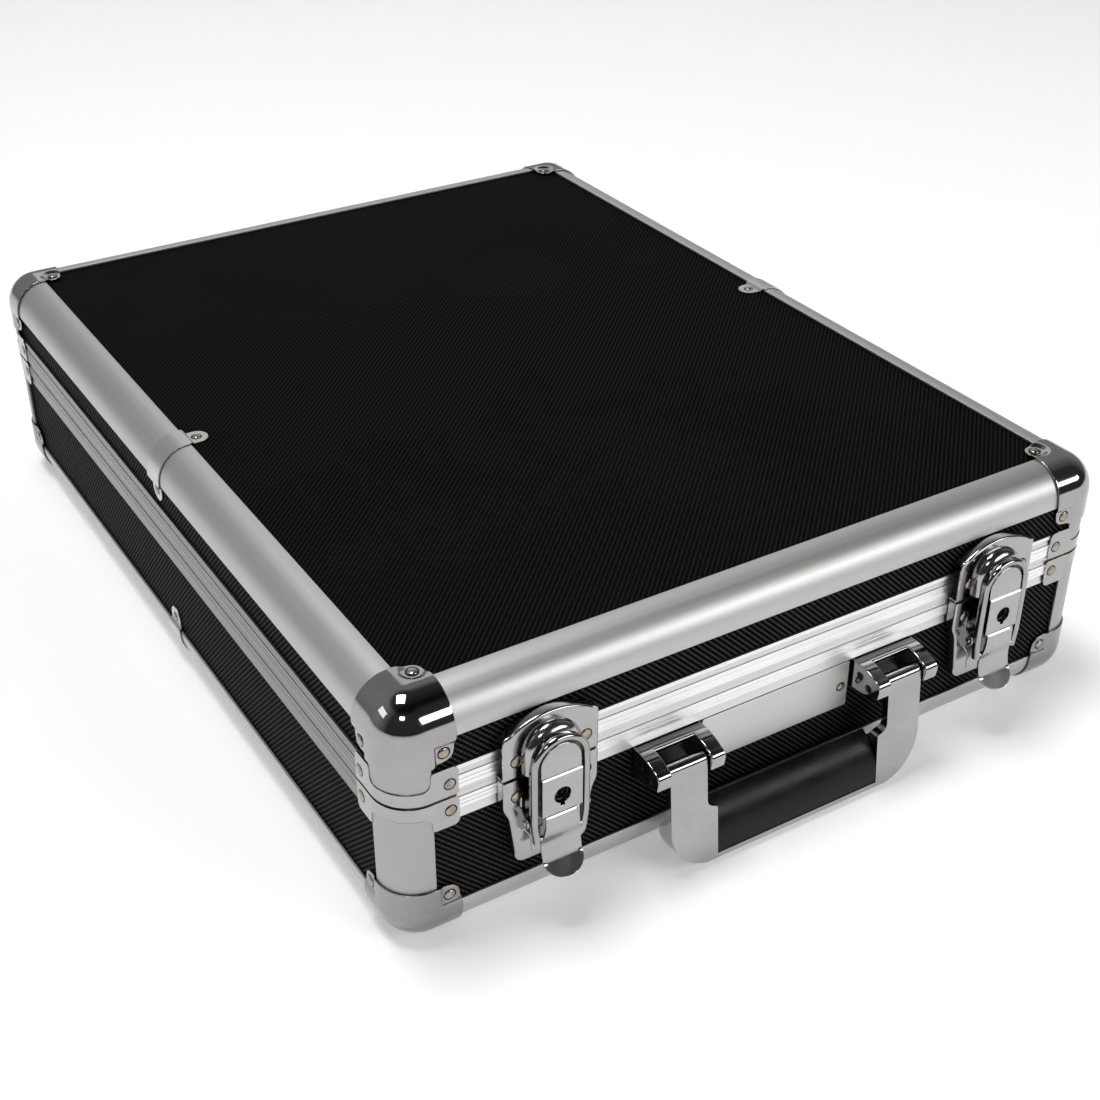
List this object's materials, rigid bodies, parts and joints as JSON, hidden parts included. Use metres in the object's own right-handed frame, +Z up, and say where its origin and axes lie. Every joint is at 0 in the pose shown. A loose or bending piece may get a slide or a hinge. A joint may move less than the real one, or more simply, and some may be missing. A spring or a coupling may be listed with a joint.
{
  "type": "attache case",
  "caption": "Flat hinged carrying case: black textured boards in aluminium edge extrusions, chromed corners, key-lock draw latches, hanging handle and foam lining.",
  "frame": {"origin": "on the ground, under the centre of the bounding box of the closed case with its handle hanging", "axes": "+X to the right as one faces the handle and latches, +Y from the latches back to the hinges along the case's longest side, +Z up out of the lid"},
  "size_m": [0.3522, 0.4826, 0.1142],
  "materials": {
    "black_laminate": "satin",
    "edge_aluminium": "satin",
    "rim_aluminium": "satin",
    "chrome": "polished",
    "lock_metal": "polished",
    "nameplate_metal": "satin",
    "grip_plastic": "satin",
    "foam": "matte"
  },
  "bodies": {
    "base": {"base_bottom_panel": "black_laminate", "base_wall_frame": "black_laminate", "base_edge_front": "edge_aluminium", "base_edge_back": "edge_aluminium", "base_edge_left": "edge_aluminium", "base_edge_right": "edge_aluminium", "base_post_front_left": "edge_aluminium", "base_post_front_right": "edge_aluminium", "base_post_back_right": "edge_aluminium", "base_post_back_left": "edge_aluminium", "base_rim_frame": "rim_aluminium", "base_corner_front_left": "chrome", "base_corner_front_right": "chrome", "base_corner_back_right": "chrome", "base_corner_back_left": "chrome", "base_rim_corner_front_left": "chrome", "base_rim_corner_front_right": "chrome", "base_rim_corner_back_right": "chrome", "base_rim_corner_back_left": "chrome", "base_strap_left": "chrome", "base_strap_right": "chrome", "base_foam": "foam", "latch_base_left": "chrome", "latch_base_right": "chrome", "hinge_lower_left": "chrome", "hinge_lower_right": "chrome", "handle_bracket_left": "chrome", "handle_bracket_right": "chrome", "nameplate": "nameplate_metal"},
    "lid": {"lid_top_panel": "black_laminate", "lid_wall_frame": "black_laminate", "lid_edge_front": "edge_aluminium", "lid_edge_back": "edge_aluminium", "lid_edge_left": "edge_aluminium", "lid_edge_right": "edge_aluminium", "lid_rim_frame": "rim_aluminium", "lid_corner_front_left": "chrome", "lid_corner_front_right": "chrome", "lid_corner_back_right": "chrome", "lid_corner_back_left": "chrome", "lid_rim_corner_front_left": "chrome", "lid_rim_corner_front_right": "chrome", "lid_rim_corner_back_right": "chrome", "lid_rim_corner_back_left": "chrome", "lid_strap_left": "chrome", "lid_strap_right": "chrome", "lid_foam": "foam", "latch_keeper_left": "chrome", "latch_keeper_right": "chrome", "hinge_upper_left": "chrome", "hinge_upper_right": "chrome"},
    "handle": {"handle_frame": "chrome", "handle_grip": "grip_plastic"},
    "latch_lever_left": {"latch_lever_left": "chrome"},
    "latch_cover_left": {"latch_cover_left": "chrome"},
    "lock_barrel_left": {"lock_barrel_left": "lock_metal"},
    "latch_lever_right": {"latch_lever_right": "chrome"},
    "latch_cover_right": {"latch_cover_right": "chrome"},
    "lock_barrel_right": {"lock_barrel_right": "lock_metal"}
  },
  "joints": [
    {"name": "lid_hinge", "type": "hinge", "parent": "base", "child": "lid", "pos_m": [0, 0.2382, 0.0701], "axis": [-1, 0, 0], "range_deg": [0, 95]},
    {"name": "handle_pivot", "type": "hinge", "parent": "base", "child": "handle", "pos_m": [0, -0.2336, 0.0511], "axis": [-1, 0, 0], "range_deg": [-12, 95]},
    {"name": "latch_lever_left_pivot", "type": "hinge", "parent": "base", "child": "latch_lever_left", "pos_m": [-0.111, -0.2293, 0.0511], "axis": [-1, 0, 0], "range_deg": [0, 90]},
    {"name": "latch_cover_left_pivot", "type": "hinge", "parent": "latch_lever_left", "child": "latch_cover_left", "pos_m": [-0.111, -0.2323, 0.0431], "axis": [1, 0, 0], "range_deg": [0, 112.5]},
    {"name": "lock_barrel_left_turn", "type": "hinge", "parent": "latch_cover_left", "child": "lock_barrel_left", "pos_m": [-0.111, -0.2293, 0.062], "axis": [0, -1, 0], "range_deg": [0, 90]},
    {"name": "latch_lever_right_pivot", "type": "hinge", "parent": "base", "child": "latch_lever_right", "pos_m": [0.111, -0.2293, 0.0511], "axis": [-1, 0, 0], "range_deg": [0, 90]},
    {"name": "latch_cover_right_pivot", "type": "hinge", "parent": "latch_lever_right", "child": "latch_cover_right", "pos_m": [0.111, -0.2323, 0.0431], "axis": [1, 0, 0], "range_deg": [0, 112.5]},
    {"name": "lock_barrel_right_turn", "type": "hinge", "parent": "latch_cover_right", "child": "lock_barrel_right", "pos_m": [0.111, -0.2293, 0.062], "axis": [0, -1, 0], "range_deg": [0, 90]}
  ],
  "couplings": [
    {"joint": "latch_cover_left_pivot", "follows": "latch_lever_left_pivot", "ratio": 1.25},
    {"joint": "latch_cover_right_pivot", "follows": "latch_lever_right_pivot", "ratio": 1.25}
  ]
}
